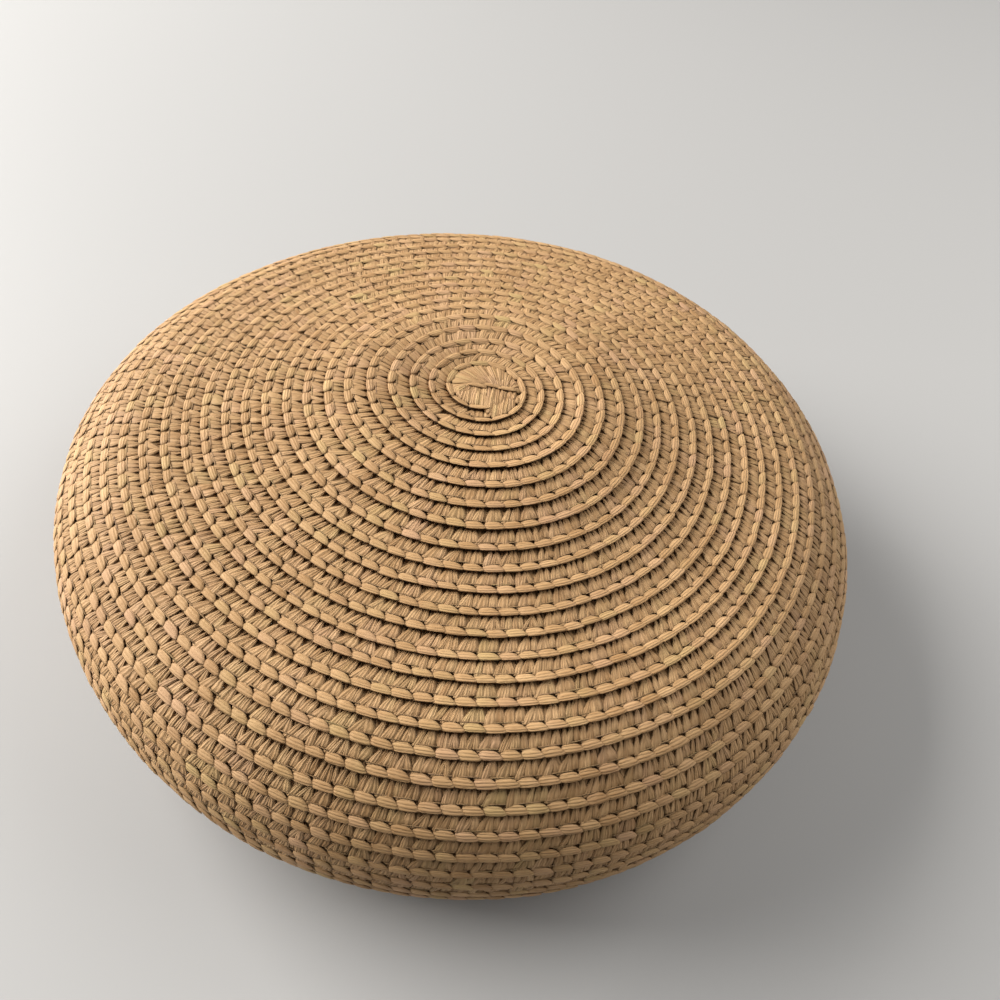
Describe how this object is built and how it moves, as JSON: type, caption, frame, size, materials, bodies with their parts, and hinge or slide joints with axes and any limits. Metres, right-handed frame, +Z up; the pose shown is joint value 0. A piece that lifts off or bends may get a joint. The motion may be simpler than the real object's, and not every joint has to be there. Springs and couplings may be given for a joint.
{
  "type": "straw beret",
  "caption": "Round straw beret sewn in one spiral of lapped braid, soft crown turning under to an open head rim.",
  "frame": {"origin": "middle of the head opening's rim, on the surface that the hat stands on", "axes": "+Z up out of the crown, along the hat's own axis; -Y is the side that the picture shows in front"},
  "size_m": [0.28, 0.2799, 0.0966],
  "materials": {
    "straw_braid": "matte twisted straw braid"
  },
  "bodies": {
    "root": {"braid_shell": "straw_braid"}
  },
  "joints": []
}
